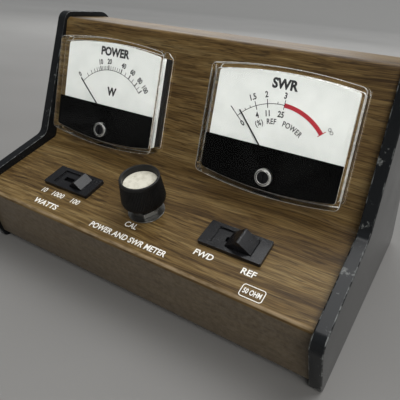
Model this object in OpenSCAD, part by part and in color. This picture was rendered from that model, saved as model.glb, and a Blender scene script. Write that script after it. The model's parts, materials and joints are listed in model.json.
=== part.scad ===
// Bench power and standing-wave-ratio meter with a wood-grain sheet-steel cabinet.
// Millimetres. X runs along the front, Y to the back, Z up, and the front faces -Y.
// The origin is on the table, midway along the width and the depth.

/* [Cabinet] */
// Width of the wood-grain panel between the end caps
panel_w = 150; // [146:1:170]
// Height of the bend along the top of the front lip
lip_top_z = 28.5; // [27.5:0.5:32]
// Length of the front lip, which is square to the deck
lip_len = 27; // [25:0.5:27.5]
// Slope of the control deck
deck_slope = 19; // [17:0.5:21]
// Length of the deck from the lip to the crease
deck_len = 43.7; // [42:0.5:45]
// Lean of the meter panel back from upright
panel_lean = 9.2; // [8:0.2:11]
// Length of the meter panel from the crease to the top bend
panel_len = 57.5; // [56.5:0.5:58]
// Depth of the flat top
top_len = 25; // [24:0.5:27]
// Thickness of every cabinet sheet
sheet_t = 1; // [0.8:0.1:1.2]

/* [End caps] */
// Thickness of an end cap
cap_t = 4.5; // [3.5:0.5:6]
// Forward reach of the cap's nose, ahead of the lip bend
cap_nose_reach = 6.5; // [5:0.5:8]
// Height of the cap's nose
cap_nose_z = 29.2; // [28.5:0.1:32]
// Depth position of the cap's front foot, behind the lip bend
cap_foot_y = 9.1; // [7:0.5:11]
// Depth position of the cap's crease
cap_crease_y = 35.4; // [34:0.5:37]
// Height of the cap's crease
cap_crease_z = 45; // [44:0.5:48]
// Depth position of the cap's brow, at the top of the meter panel
cap_brow_y = 49.7; // [48:0.5:50]
// Height of the cap
cap_h = 101.9; // [101:0.5:106]
// Depth position of the cap's rear top corner
cap_crown_y = 77.5; // [77.5:0.5:82]
// Depth position of the cap's heel on the table
cap_heel_y = 132.4; // [130:0.5:136]

/* [Meters] */
// Distance of each meter's centre line from the middle of the cabinet
meter_x = 39.5; // [38:0.5:42]
// Distance of the meter faces' centres up the meter panel
meter_v = 27.9; // [27:0.1:29]
// Width of a meter cover
meter_w = 57; // [54:0.5:60]
// Height of a meter cover along its sides
meter_side_h = 41.4; // [40:0.2:42]
// Bow of the cover's top edge
bow_top = 2.2; // [1:0.2:3]
// Bow of the cover's bottom edge
bow_bottom = 2.6; // [1:0.2:3]
// Height of the cover above the panel
cover_d = 9; // [9:0.5:11]
// Distance of the pointer's axis below the middle of the face
pivot_drop = 11.7; // [11:0.1:12.5]
// Distance of the zero screw below the middle of the face
zero_drop = 16.5; // [16:0.1:17]
// Top edge of the black mask, below the middle of the face
mask_drop = 5.6; // [5:0.1:7]
// Length of the pointer from its axis to its tip
pointer_len = 23; // [20:0.5:24]
// Angle of the power pointer at rest, to the left of straight up
power_rest = 48; // [40:1:50]
// Angle of the SWR pointer at rest, a little up its scale as its zero screw leaves it
swr_rest = 42.5; // [40:0.5:50]

/* [Controls] */
// Distance of the switches and the knob up the deck
control_v = 19.8; // [19:0.1:21]
// Distance of each switch from the middle of the cabinet
switch_x = 39; // [36:0.5:42]
// Width of a switch bezel
bezel_w = 24.4; // [24:0.2:26]
// Height of a switch bezel
bezel_h = 11.3; // [11:0.1:12]
// Width of the window in a bezel
window_w = 16; // [15.5:0.1:16.5]
// Height of the window in a bezel
window_h = 8; // [7.6:0.1:8.4]
// Width of the power-range slider's finger grip
range_grip_w = 7; // [6:0.2:8]
// Width of the forward and reflected slider's finger grip
mode_grip_w = 10.2; // [9:0.2:11]
// Radius of the calibration knob at its skirt
knob_r = 8.6; // [8.2:0.1:9]
// Radius of the calibration knob at its crown
knob_crown_r = 8; // [7.8:0.1:8.1]
// Height of the knob's crown above the deck
knob_top = 16.9; // [16.5:0.1:18]
// Height of the knob's skirt above the deck
knob_bottom = 5; // [4.9:0.1:5.5]

/* [Rear sockets] */
// Distance of each coaxial socket from the middle of the cabinet
socket_x = 32; // [28:1:36]
// Distance of the sockets up the rear panel
socket_v = 46; // [44:1:50]
// Radius of a socket's outer thread
socket_thread_r = 7.9; // [7.8:0.1:8]
// Radius of a socket's centre contact bore
socket_contact_r = 2; // [1.9:0.05:2.1]

/* [Hidden] */
$fn = 48;
ARC_STEPS = 8;
EPS = 0.01;
RUNNING_FIT = 0.05;

// ---- Outlines ----

function unit(v) = v / norm(v);
function turned(p, a) = [p.x * cos(a) - p.y * sin(a), p.x * sin(a) + p.y * cos(a)];
function reversed(pts) = [for (i = [len(pts) - 1:-1:0]) pts[i]];

// Arc of radius r that rounds the corner b between a and c
function corner_arc(a, b, c, r) =
    let (
        u = unit(a - b),
        w = unit(c - b),
        half = acos(u * w) / 2,
        centre = b + unit(u + w) * r / sin(half),
        first = b + u * r / tan(half) - centre,
        last = b + w * r / tan(half) - centre,
        sweep = atan2(cross(first, last), first * last)
    )
    [for (i = [0:ARC_STEPS]) centre + turned(first, sweep * i / ARC_STEPS)];

// Outline or path with corner i rounded to radii[i], and left sharp where that is 0
function rounded(pts, radii) =
    let (n = len(pts))
    [for (i = [0:n - 1])
        each radii[i] > 0
            ? corner_arc(pts[(i + n - 1) % n], pts[i], pts[(i + 1) % n], radii[i])
            : [pts[i]]];

function left_normal(a, b) = [a.y - b.y, b.x - a.x] / norm(b - a);

// Open path moved sideways by d, to the left where d is positive
function shifted(pts, d) =
    let (last = len(pts) - 1)
    [for (i = [0:last])
        let (
            before = left_normal(pts[max(i - 1, 0)], pts[max(i, 1)]),
            after = left_normal(pts[min(i, last - 1)], pts[min(i + 1, last)])
        )
        pts[i] + (before + after) * d / (1 + before * after)];

// Which way path pts turns at corner i: 1 to the left, -1 to the right
function turn_at(pts, i) =
    i == 0 || i == len(pts) - 1 ? 0 : sign(cross(pts[i] - pts[i - 1], pts[i + 1] - pts[i]));

// Bent sheet of thickness abs(t) along a path, on its left where t is positive
module bent_sheet(pts, radii, t) {
    other_radii = [for (i = [0:len(pts) - 1]) max(radii[i] - turn_at(pts, i) * t, 0)];
    polygon(concat(rounded(pts, radii), reversed(rounded(shifted(pts, t), other_radii))));
}

// Extrudes a (depth, height) outline along X, centred
module across(w) {
    rotate([90, 0, 90])
        translate([0, 0, -w / 2])
            linear_extrude(w) children();
}

// Block centred on X and Y, standing on Z = from
module slab(size_x, size_y, from, to) {
    translate([-size_x / 2, -size_y / 2, from]) cube([size_x, size_y, to - from]);
}

module rod(r, from, to) {
    translate([0, 0, from]) cylinder(h = to - from, r = r);
}

module tube(r_out, r_in, from, to) {
    difference() {
        rod(r_out, from, to);
        rod(r_in, from - 1, to + 1);
    }
}

module hex_nut(r, bore_r, from, to) {
    difference() {
        translate([0, 0, from]) cylinder(h = to - from, r = r, $fn = 6);
        rod(bore_r, from - 1, to + 1);
    }
}

// ---- Cabinet profile, as (depth, height) with depth 0 at the lip bend ----

RETURN_LEN = 10;
LIP_TOP = [0, lip_top_z];
LIP_FOOT = LIP_TOP + lip_len * [sin(deck_slope), -cos(deck_slope)];
CREASE = LIP_TOP + deck_len * [cos(deck_slope), sin(deck_slope)];
BROW = CREASE + panel_len * [sin(panel_lean), cos(panel_lean)];
TOP_REAR = BROW + [top_len, 0];
FRONT_PATH = [LIP_FOOT + [RETURN_LEN, 0], LIP_FOOT, LIP_TOP, CREASE, BROW, TOP_REAR];
FRONT_RADII = [0, 1.6, 1.8, 2.4, 2.4, 0];

CAP_CORNERS = [
    [cap_foot_y, 0], [-cap_nose_reach, cap_nose_z], [cap_crease_y, cap_crease_z],
    [cap_brow_y, cap_h], [cap_crown_y, cap_h], [cap_heel_y, 0]
];
CAP_RADII = [3.5, 4.5, 5, 4.5, 8, 4];
CAP_OUTLINE = rounded(CAP_CORNERS, CAP_RADII);
CAP_DEPTHS = [for (p = CAP_OUTLINE) p.x];
MID_Y = (min(CAP_DEPTHS) + max(CAP_DEPTHS)) / 2;

REAR_INSET = 3;
rear_lean = atan((cap_heel_y - cap_crown_y) / cap_h);

// Depth at height z of the plane that lies inset inside the caps' rear edges
function rear_y(z, inset) = cap_heel_y - z * tan(rear_lean) - inset / cos(rear_lean);

FLOOR_Z = LIP_FOOT.y;
SHELF_Z = TOP_REAR.y - sheet_t;
REAR_FOOT = [rear_y(FLOOR_Z, REAR_INSET), FLOOR_Z];
REAR_TOP = [rear_y(SHELF_Z, REAR_INSET), SHELF_Z];
REAR_PATH = [REAR_FOOT - [12, 0], REAR_FOOT, REAR_TOP, [TOP_REAR.x - 14, SHELF_Z]];
REAR_RADII = [0, 1.6, 2, 0];
END_CLEARANCE = 0.2;

// ---- Places on the cabinet: local Z is the outward normal, local Y is up the face ----

module cabinet() {
    translate([0, -MID_Y, 0]) children();
}

module on_deck(x, v) {
    cabinet()
        translate([x, LIP_TOP.x, LIP_TOP.y])
            rotate([deck_slope, 0, 0])
                translate([0, v, 0]) children();
}

module on_meter(x) {
    cabinet()
        translate([x, CREASE.x, CREASE.y])
            rotate([90 - panel_lean, 0, 0])
                translate([0, meter_v, 0]) children();
}

module on_rear(x, v) {
    cabinet()
        translate([x, REAR_FOOT.x, REAR_FOOT.y])
            rotate([90 - rear_lean, 0, 180])
                translate([0, v, 0]) children();
}

// ---- Cabinet ----

BARREL_R = 17;
BARREL_DROP = 5.5;
STUD_X = 23;
STUD_Y = 16;
STUD_R = 1.3;
BUSHING_R = 3.5;
CLIP_X = 10.9;
CLIP_Y = 4.7;
CLIP_W = 1.6;
CLIP_D = 0.9;
FRONT_SCREW_Y = LIP_FOOT.x + 6.5;
REAR_SCREW_Y = REAR_FOOT.x - 8;
BASE_SCREW_XS = [-50, 0, 50];
SCREW_R = 1.4;
SOCKET_BOSS_R = 8;
SOCKET_SCREW_R = 1.5;
SOCKET_PITCH = 18.2;

// Local origin at each meter mounting stud
module at_studs() {
    for (sx = [-1, 1], sy = [-1, 1]) translate([sx * STUD_X, sy * STUD_Y, 0]) children();
}

module at_clips() {
    for (sx = [-1, 1], sy = [-1, 1]) translate([sx * CLIP_X, sy * CLIP_Y, 0]) children();
}

module at_base_screws() {
    for (x = BASE_SCREW_XS, y = [FRONT_SCREW_Y, REAR_SCREW_Y])
        translate([x, y, FLOOR_Z]) children();
}

module meter_holes() {
    translate([0, -BARREL_DROP, 0]) rod(BARREL_R + 0.4, -4, 2);
    at_studs() rod(STUD_R + 0.2, -4, 2);
}

module switch_holes() {
    slab(window_w + 1, window_h + 0.8, -4, 2);
    at_clips() slab(CLIP_W + 0.2, CLIP_D + 0.2, -4, 2);
}

module front_panel() {
    color("#6d5236")
    difference() {
        cabinet() across(panel_w) bent_sheet(FRONT_PATH, FRONT_RADII, -sheet_t);
        for (side = [-1, 1]) on_meter(side * meter_x) meter_holes();
        for (side = [-1, 1]) on_deck(side * switch_x, control_v) switch_holes();
        on_deck(0, control_v) rod(BUSHING_R + 0.1, -4, 2);
        cabinet() at_base_screws() rod(SCREW_R + 0.1, -2, 2);
    }
}

TRAY_SIDE_X = panel_w / 2 - 1;
TRAY_SIDE_H = 15;
TRAY_FRONT_Y = LIP_FOOT.x + 1.6;
TRAY_REAR_Y = REAR_FOOT.x - 3;
TRAY_Z = FLOOR_Z + sheet_t;
CAP_SCREW_R = 1.25;
CAP_SCREW_PLACES = [[32, TRAY_Z + 7], [108, TRAY_Z + 7]];
EAR_Z = 84;
EAR_SCREW = [rear_y(EAR_Z, REAR_INSET) - 8, EAR_Z];
ALL_CAP_SCREWS = concat(CAP_SCREW_PLACES, [EAR_SCREW]);

// Local origin on each cap screw's axis, with local Z pointing outwards along side * X
module at_cap_screws(side, places) {
    cabinet()
        for (p = places)
            translate([0, p.x, p.y]) rotate([0, side * 90, 0]) children();
}

module base_tray() {
    color("#2c2d2f")
    difference() {
        union() {
            cabinet()
                translate([-TRAY_SIDE_X, TRAY_FRONT_Y, TRAY_Z])
                    cube([2 * TRAY_SIDE_X, TRAY_REAR_Y - TRAY_FRONT_Y, sheet_t]);
            for (side = [0, 1])
                mirror([side, 0, 0])
                    cabinet()
                        translate([TRAY_SIDE_X - sheet_t, TRAY_FRONT_Y + 8, TRAY_Z])
                            cube([sheet_t, TRAY_REAR_Y - TRAY_FRONT_Y - 20, TRAY_SIDE_H]);
        }
        cabinet() at_base_screws() rod(SCREW_R, -1, 4);
        for (side = [-1, 1])
            at_cap_screws(side, CAP_SCREW_PLACES) rod(CAP_SCREW_R + 0.1, 60, 80);
    }
}

module rear_ear() {
    in = REAR_INSET + sheet_t / 2;
    polygon([
        [rear_y(EAR_Z - 7, in), EAR_Z - 7], [rear_y(EAR_Z + 7, in), EAR_Z + 7],
        [rear_y(EAR_Z + 7, in) - 12, EAR_Z + 7], [rear_y(EAR_Z - 7, in) - 12, EAR_Z - 7]
    ]);
}

module rear_panel() {
    color("#242527")
    difference() {
        union() {
            cabinet()
                across(panel_w - 2 * END_CLEARANCE) bent_sheet(REAR_PATH, REAR_RADII, sheet_t);
            for (side = [-1, 1])
                cabinet()
                    translate([side * (TRAY_SIDE_X - sheet_t / 2), 0, 0])
                        across(sheet_t) rear_ear();
        }
        for (side = [-1, 1]) {
            on_rear(side * socket_x, socket_v) {
                rod(SOCKET_BOSS_R + 0.2, -4, 2);
                at_socket_screws() rod(SOCKET_SCREW_R + 0.1, -4, 2);
            }
            at_cap_screws(side, [EAR_SCREW]) rod(CAP_SCREW_R + 0.1, 60, 80);
        }
        cabinet() at_base_screws() rod(SCREW_R + 0.1, -2, 2);
    }
}

CAP_X = panel_w / 2;
RIB_T = 1.6;
RIB_D = 2.2;

// Rib on the cap's inner face that stands just inside the bent front sheet
module cap_rib() {
    gap = sheet_t + 0.3;
    lip_up = [-sin(deck_slope), cos(deck_slope)];
    path = [LIP_FOOT + 4 * lip_up, LIP_TOP, CREASE, BROW, BROW + [9, 0]];
    radii = [for (i = [0:len(path) - 1])
        max(FRONT_RADII[min(i + 1, 5)] * (i % 4 == 0 ? 0 : 1) + turn_at(path, i) * gap, 0)];
    bent_sheet(shifted(path, -gap), radii, -RIB_T);
}

module end_cap(side) {
    color("#17181a")
    difference() {
        union() {
            cabinet()
                translate([side * (CAP_X + cap_t / 2), 0, 0])
                    across(cap_t) polygon(CAP_OUTLINE);
            cabinet()
                translate([side * (CAP_X - RIB_D / 2 + EPS), 0, 0])
                    across(RIB_D) cap_rib();
            at_cap_screws(side, ALL_CAP_SCREWS) rod(3.4, TRAY_SIDE_X, CAP_X + 1);
        }
        at_cap_screws(side, ALL_CAP_SCREWS) rod(CAP_SCREW_R, TRAY_SIDE_X - 1, CAP_X + 3);
    }
}

module left_end_cap() {
    end_cap(-1);
}

module right_end_cap() {
    end_cap(1);
}

module end_cap_screws() {
    color("silver")
    for (side = [-1, 1])
        at_cap_screws(side, ALL_CAP_SCREWS) {
            inner = TRAY_SIDE_X - sheet_t;
            rod(2.7, inner - 1.8, inner);
            rod(CAP_SCREW_R, inner - EPS, CAP_X + 2.5);
        }
}

module base_screws() {
    color("silver")
    cabinet()
        at_base_screws()
            difference() {
                union() {
                    rod(2.8, -1.7, 0);
                    rod(SCREW_R, -EPS, 5);
                }
                slab(1, 6, -1.8, -1);
            }
}

// ---- Panel meters: local origin at the middle of the face, on the panel ----

WALL = 1.8;
WINDOW_T = 1.5;
BOW_STEPS = 12;
FLANGE_INSET = 2.1;
DIAL_Z = 4.6;
DIAL_T = 0.4;
MASK_T = 0.6;
POINTER_Z = 5.35;
BOSS_R = 3;
ZERO_HEAD_R = 2.2;
BARREL_DEPTH = 22;
BARREL_WALL = 1.6;
STAFF_R = 0.6;
YOKE_R = 9;
GAP_OUTER_R = 7;
CORE_R = 4.8;
YOKE_REAR_Z = -16.5;
YOKE_FRONT_Z = -5.5;
COIL_REAR_Z = -17.4;
COIL_FRONT_Z = -4.6;
COIL_WIRE = 0.8;
COIL_R = 6.2;
COIL_W = 2;
CORE_POST_R = 0.7;
CORE_POST_Y = 3.8;
BRIDGE_Z = -3.6;
BRIDGE_T = 1.2;
TERMINAL_X = 9;
TERMINAL_Y = 3;

// Outline of a meter face, drawn in from the cover's edge by inset
function face_outline(inset) =
    let (
        half_w = meter_w / 2 - inset,
        half_h = meter_side_h / 2 - inset,
        corner_r = max(2.2 - inset * 0.6, 0.8),
        rise = function (i) 1 - pow(2 * i / BOW_STEPS - 1, 2),
        low = [for (i = [0:BOW_STEPS])
            [half_w * (2 * i / BOW_STEPS - 1), -half_h - bow_bottom * rise(i)]],
        high = [for (i = [0:BOW_STEPS])
            [half_w * (1 - 2 * i / BOW_STEPS), half_h + bow_top * rise(i)]],
        radii = [for (i = [0:BOW_STEPS]) i == 0 || i == BOW_STEPS ? corner_r : 0]
    )
    rounded(concat(low, high), concat(radii, radii));

module face_prism(inset, from, to) {
    translate([0, 0, from]) linear_extrude(to - from) polygon(face_outline(inset));
}

module at_pivot() {
    translate([0, -pivot_drop, 0]) children();
}

module at_zero() {
    translate([0, -zero_drop, 0]) children();
}

module meter_cover() {
    color([0.85, 0.9, 0.92, 0.35])
    difference() {
        union() {
            face_prism(0, 0, cover_d);
            at_zero() rod(BOSS_R, cover_d - EPS, cover_d + 0.5);
        }
        face_prism(WALL, -1, cover_d - WINDOW_T);
        at_zero() rod(ZERO_HEAD_R + RUNNING_FIT, cover_d - WINDOW_T - 1, cover_d + 1);
    }
}

module meter_mask() {
    inner = cover_d - WINDOW_T;
    color("#0c0c0d")
    difference() {
        intersection() {
            face_prism(WALL + 0.1, inner - MASK_T, inner);
            translate([-40, -40 - mask_drop, 0]) cube([80, 40, 20]);
        }
        at_zero() rod(BOSS_R + 0.3, 0, 20);
    }
}

DIAL_POST_X = 21.5;
DIAL_POST_Y = -3;
DIAL_NOTCH_R = 5.2;

module meter_dial() {
    color("#f2f1ea")
    difference() {
        face_prism(WALL + 0.15, DIAL_Z, DIAL_Z + DIAL_T);
        at_pivot() rod(DIAL_NOTCH_R, DIAL_Z - 1, DIAL_Z + 1);
        at_pivot() translate([0, -20, 0]) slab(2 * DIAL_NOTCH_R, 40, DIAL_Z - 1, DIAL_Z + 1);
    }
}

FLANGE_T = 2;
NECK_R = 13;

module meter_housing() {
    rear = -BARREL_DEPTH;
    color("#1b1b1c")
    difference() {
        union() {
            difference() {
                union() {
                    face_prism(FLANGE_INSET, 0, FLANGE_T);
                    translate([0, -BARREL_DROP, 0]) rod(BARREL_R, rear, 0);
                }
                translate([0, -BARREL_DROP, 0]) {
                    rod(BARREL_R - BARREL_WALL, rear + BARREL_WALL, -1);
                    rod(NECK_R, -2, FLANGE_T + 1);
                }
            }
            at_pivot() tube(YOKE_R, YOKE_R - 1.4, rear + BARREL_WALL - EPS, YOKE_REAR_Z);
            at_pivot() rod(1.8, rear + BARREL_WALL - EPS, COIL_REAR_Z - 1.2);
            for (side = [-1, 1])
                translate([side * DIAL_POST_X, DIAL_POST_Y, 0]) rod(1.6, FLANGE_T - EPS, DIAL_Z);
        }
        at_pivot() rod(STAFF_R + RUNNING_FIT, rear + BARREL_WALL - 0.4, 0);
        at_studs() rod(STUD_R, -1, 1.4);
        for (side = [-1, 1]) translate([side * TERMINAL_X, TERMINAL_Y, 0]) rod(1.6, rear - 1, -10);
    }
}

module meter_yoke() {
    color("#8d9196") at_pivot() tube(YOKE_R, GAP_OUTER_R, YOKE_REAR_Z, YOKE_FRONT_Z);
}

module meter_core() {
    color("#5b5e63") at_pivot() rod(CORE_R, YOKE_REAR_Z + 1, YOKE_FRONT_Z - 1);
}

// Brass bridge: carries the front jewel, spans the yoke and hangs the core on two posts
module meter_bridge() {
    color("#b8963e")
    at_pivot()
        difference() {
            union() {
                slab(3.6, 2 * YOKE_R - 0.6, BRIDGE_Z, BRIDGE_Z + BRIDGE_T);
                for (side = [-1, 1]) {
                    translate([0, side * CORE_POST_Y, 0])
                        rod(CORE_POST_R, YOKE_FRONT_Z - 1, BRIDGE_Z + EPS);
                    translate([0, side * (YOKE_R + GAP_OUTER_R) / 2, 0])
                        slab(3.6, 1.2, YOKE_FRONT_Z, BRIDGE_Z + EPS);
                }
            }
            rod(STAFF_R + RUNNING_FIT, BRIDGE_Z - 1, BRIDGE_Z + BRIDGE_T + 1);
        }
}

// Four panel studs, each with its washer and nut behind the panel
module meter_fixings() {
    back = -sheet_t;
    color("#c9b26a")
    at_studs() {
        rod(STUD_R, -8, 1.4);
        tube(2.9, STUD_R, back - 0.5, back);
        hex_nut(2.7, STUD_R, back - 2.5, back - 0.5);
    }
}

// Two terminal studs, each with a nut and a solder tag
module meter_terminals() {
    rear = -BARREL_DEPTH;
    color("#c9a24a")
    for (side = [-1, 1])
        translate([side * TERMINAL_X, TERMINAL_Y, 0]) {
            rod(1.6, rear - 10, rear + BARREL_WALL + EPS);
            rod(2.6, rear + BARREL_WALL, rear + BARREL_WALL + 1.4);
            hex_nut(3.1, 1.6, rear - 2.4, rear);
            tube(3, 1.6, rear - 2.9, rear - 2.4);
            translate([-1.2, 2.4, rear - 2.9]) cube([2.4, 6, 0.5]);
        }
}

// Turns about the pointer's axis, to the left of straight up
module at_rest_pointer(rest) {
    at_pivot() rotate([0, 0, rest]) children();
}

// Tapered blade with a counterweight tail
module pointer_blade(tail) {
    translate([0, 0, POINTER_Z - 0.12])
        linear_extrude(0.24)
            polygon([
                [-0.5, -tail], [0.5, -tail], [0.55, 1], [0.22, 4],
                [0.22, pointer_len], [-0.22, pointer_len], [-0.22, 4], [-0.55, 1]
            ]);
}

// Blade, hub and staff; the coil joins the staff's front and rear halves
module meter_pointer(rest) {
    tail = 4.8;
    color("#1a1a1c")
    at_rest_pointer(rest) {
        pointer_blade(tail);
        rod(1.5, POINTER_Z - 0.7, POINTER_Z + 0.25);
        rod(STAFF_R, COIL_FRONT_Z - EPS, POINTER_Z);
        rod(STAFF_R, -BARREL_DEPTH + BARREL_WALL + 0.1, COIL_REAR_Z + EPS);
        translate([0, -tail, 0]) rod(0.9, POINTER_Z - 0.35, POINTER_Z + 0.35);
    }
}

// Winding: two legs in the air gap, joined in front of and behind the core
module meter_moving_coil(rest) {
    color("#b5652a")
    at_rest_pointer(rest)
        difference() {
            slab(2 * COIL_R, COIL_W, COIL_REAR_Z, COIL_FRONT_Z);
            slab(
                2 * (COIL_R - COIL_WIRE), COIL_W + 1,
                COIL_REAR_Z + COIL_WIRE, COIL_FRONT_Z - COIL_WIRE
            );
        }
}

SPRING_Z = 1;
SPRING_TURNS = 2.5;
SPRING_R = 3.2;

// Flat spiral spring around the front staff
module meter_hairspring() {
    steps = 60;
    strip = 0.14;
    at = function (i, side)
        let (r = STAFF_R + (SPRING_R - STAFF_R) * i / steps + side * strip)
        r * [cos(360 * SPRING_TURNS * i / steps), sin(360 * SPRING_TURNS * i / steps)];
    color("#c08a3a")
    at_pivot()
        translate([0, 0, SPRING_Z])
            linear_extrude(0.5)
                polygon(concat(
                    [for (i = [0:steps]) at(i, -1)],
                    [for (i = [steps:-1:0]) at(i, 1)]
                ));
}

ZERO_PIN_R = 0.4;
ZERO_THROW = 1.2;
ARM_Z = 6.05;
ARM_T = 0.4;
SPRING_POST_X = 4.2;

// Forked lever that turns about the pointer's axis and holds the spring's outer end
module meter_zero_arm() {
    reach = zero_drop - pivot_drop;
    fork_gap = 2 * (ZERO_PIN_R + 0.3);
    color("#c2c4c7")
    at_pivot()
        difference() {
            union() {
                rod(2, ARM_Z, ARM_Z + ARM_T);
                translate([-1.6, -reach, ARM_Z]) cube([3.2, reach, ARM_T]);
                translate([SPRING_POST_X, 0, 0]) slab(0.6, 0.8, SPRING_Z, ARM_Z + ARM_T);
                translate([0, -0.7, ARM_Z]) cube([SPRING_POST_X, 1.4, ARM_T]);
            }
            rod(STAFF_R + 0.3, ARM_Z - 1, ARM_Z + ARM_T + 1);
            translate([-fork_gap / 2, -reach - 1, ARM_Z - 1]) cube([fork_gap, reach - 1.2, 4]);
        }
}

// Slotted screw through the cover, with an off-centre pin that works the fork
module meter_zero_screw() {
    inner = cover_d - WINDOW_T;
    color("#1a1a1c")
    at_zero()
        difference() {
            union() {
                rod(ZERO_HEAD_R, inner - 0.8, cover_d + 0.3);
                rod(ZERO_HEAD_R + 0.6, inner - 0.8, inner - 0.3);
                translate([0, ZERO_THROW, 0])
                    rod(ZERO_PIN_R, ARM_Z - 0.15, inner - 0.8 + EPS);
            }
            slab(0.7, 6, cover_d - 0.5, cover_d + 1);
        }
}

module power_meter_cover() { on_meter(-meter_x) meter_cover(); }
module power_meter_mask() { on_meter(-meter_x) meter_mask(); }
module power_meter_dial() { on_meter(-meter_x) meter_dial(); }
module power_meter_housing() { on_meter(-meter_x) meter_housing(); }
module power_meter_yoke() { on_meter(-meter_x) meter_yoke(); }
module power_meter_core() { on_meter(-meter_x) meter_core(); }
module power_meter_bridge() { on_meter(-meter_x) meter_bridge(); }
module power_meter_fixings() { on_meter(-meter_x) meter_fixings(); }
module power_meter_terminals() { on_meter(-meter_x) meter_terminals(); }
module power_pointer() { on_meter(-meter_x) meter_pointer(power_rest); }
module power_moving_coil() { on_meter(-meter_x) meter_moving_coil(power_rest); }
module power_hairspring() { on_meter(-meter_x) meter_hairspring(); }
module power_zero_arm() { on_meter(-meter_x) meter_zero_arm(); }
module power_zero_screw() { on_meter(-meter_x) meter_zero_screw(); }

module swr_meter_cover() { on_meter(meter_x) meter_cover(); }
module swr_meter_mask() { on_meter(meter_x) meter_mask(); }
module swr_meter_dial() { on_meter(meter_x) meter_dial(); }
module swr_meter_housing() { on_meter(meter_x) meter_housing(); }
module swr_meter_yoke() { on_meter(meter_x) meter_yoke(); }
module swr_meter_core() { on_meter(meter_x) meter_core(); }
module swr_meter_bridge() { on_meter(meter_x) meter_bridge(); }
module swr_meter_fixings() { on_meter(meter_x) meter_fixings(); }
module swr_meter_terminals() { on_meter(meter_x) meter_terminals(); }
module swr_pointer() { on_meter(meter_x) meter_pointer(swr_rest); }
module swr_moving_coil() { on_meter(meter_x) meter_moving_coil(swr_rest); }
module swr_hairspring() { on_meter(meter_x) meter_hairspring(); }
module swr_zero_arm() { on_meter(meter_x) meter_zero_arm(); }
module swr_zero_screw() { on_meter(meter_x) meter_zero_screw(); }

// ---- Calibration control: local origin on the deck, at the shaft's axis ----

SHAFT_R = 3;
POT_R = 8;
POT_DEPTH = 9;
POT_WALL = 0.8;
INSERT_T = 0.8;
INSERT_DROP = 2.5;
CROWN_RIM = 1.3;
CAL_NUT_R = 5.5;
SHAFT_END_DROP = 4.3;

module on_cal() {
    on_deck(0, control_v) children();
}

module cal_control_body() {
    front = -sheet_t;
    color("#9a9ca0")
    on_cal()
        difference() {
            union() {
                rod(POT_R, front - POT_DEPTH, front);
                rod(BUSHING_R, front - EPS, knob_bottom - 0.5);
                for (x = [-4, 0, 4])
                    translate([x - 0.8, -POT_R - 5, front - 6]) cube([1.6, 7, 0.5]);
            }
            rod(POT_R - POT_WALL, front - POT_DEPTH + POT_WALL, front - 1.2);
            rod(SHAFT_R + RUNNING_FIT, front - 2, knob_bottom);
        }
}

module cal_control_washer() {
    color("#b9bbbd") on_cal() tube(7.2, BUSHING_R + 0.1, 0, 0.5);
}

module cal_control_nut() {
    color("#a7a9ac") on_cal() hex_nut(CAL_NUT_R, BUSHING_R, 0.5, 2.5);
}

module cal_shaft() {
    color("#c4c6c8") on_cal() rod(SHAFT_R, -sheet_t - POT_DEPTH + 1.4, knob_top - SHAFT_END_DROP);
}

module cal_wiper() {
    z = -sheet_t - 5.4;
    color("#c49a48")
    on_cal()
        difference() {
            union() {
                rod(SHAFT_R + 1, z, z + 1);
                translate([-1, 0, z]) cube([2, POT_R - 2, 0.5]);
            }
            rod(SHAFT_R, z - 1, z + 2);
        }
}

module cal_knob() {
    insert_floor = knob_top - INSERT_DROP - INSERT_T;
    color("#121213")
    on_cal()
        difference() {
            translate([0, 0, knob_bottom])
                cylinder(h = knob_top - knob_bottom, r1 = knob_r, r2 = knob_crown_r);
            rod(knob_crown_r - CROWN_RIM, insert_floor, knob_top + 1);
            tube(knob_r - 1.6, SHAFT_R + 1.8, knob_bottom - 1, knob_bottom + 4);
            rod(SHAFT_R, knob_bottom - 1, knob_top - SHAFT_END_DROP);
        }
}

module cal_knob_insert() {
    top = knob_top - INSERT_DROP;
    color("#eeeade")
    on_cal() rod(knob_crown_r - CROWN_RIM, top - INSERT_T, top);
}

// ---- Slide switches: local origin on the deck, at the middle of the bezel ----

BEZEL_T = 1.6;
TRAY_TOP = 0.9;
TRAY_T = 0.7;
NECK_W = 1.6;
NECK_D = 2;
SLOT_FIT = 0.3;
GRIP_GAP = 0.1;
RIDGE_HALF = 0.35;
GRIP_FIT = 0.2;
GRIP_D = 7.2;
SKIRT_TOP = -sheet_t - 0.15;
SKIRT_T = 0.85;
SKIRT_LAP = 0.4;
STEM_W = 5;
STEM_D = 3;
RAIL_Z = SKIRT_TOP - SKIRT_T - 0.2;
RAIL_T = 0.8;
CLIP_FOOT = RAIL_Z - RAIL_T - 0.6;
BARB_REACH = 0.35;
FRAME_FLOOR = -8;
CONTACT_Z = -5.4;

// Distance from the window's middle to a grip that stands at one end of its travel
function grip_reach(grip_w) = window_w / 2 - GRIP_FIT - grip_w / 2;

// Half the length of the shutter under the panel, which closes the slot at either end
function skirt_reach(grip_w) = window_w / 2 + SKIRT_LAP + grip_reach(grip_w);
function frame_half(grip_w) = skirt_reach(grip_w) + grip_reach(grip_w) + 0.4;

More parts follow.
